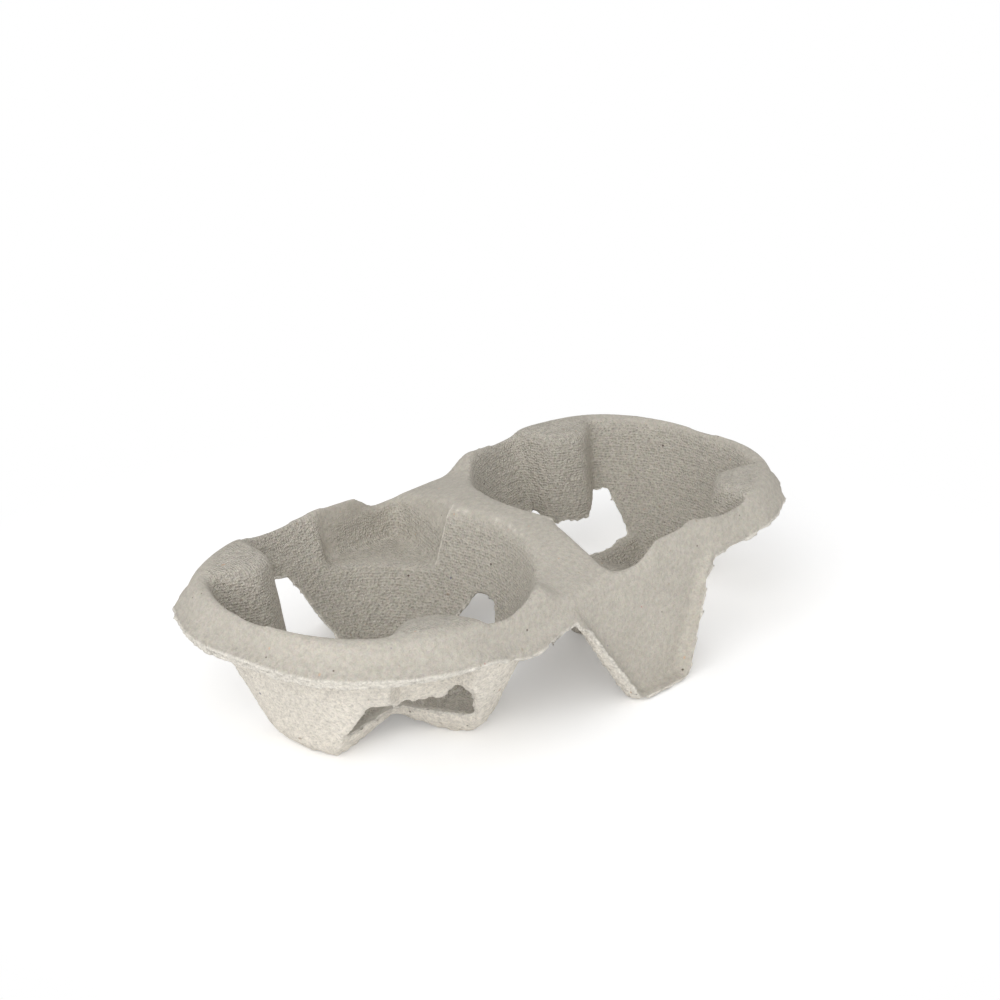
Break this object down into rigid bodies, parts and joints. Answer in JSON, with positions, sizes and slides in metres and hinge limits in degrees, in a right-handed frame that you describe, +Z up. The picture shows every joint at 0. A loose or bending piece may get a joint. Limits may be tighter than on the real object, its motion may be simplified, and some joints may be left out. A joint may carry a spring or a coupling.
{
  "type": "cup carrier",
  "caption": "Moulded-pulp cup carrier: joined round wells on troughed feet inside a flared rim with a turned lip, a hump between them and a propping leg in each long side.",
  "frame": {"origin": "middle of the carrier's footprint, on the floor", "axes": "X along the long side through both wells, Y across, Z up; the form repeats after half a turn about Z"},
  "size_m": [0.2048, 0.1062, 0.0452],
  "materials": {
    "pulp": "matt moulded paper pulp, fine felt grain on the outer face, mesh imprint inside the wells, rough and paler underneath"
  },
  "bodies": {
    "root": {"cup_carrier": "pulp"}
  },
  "joints": []
}
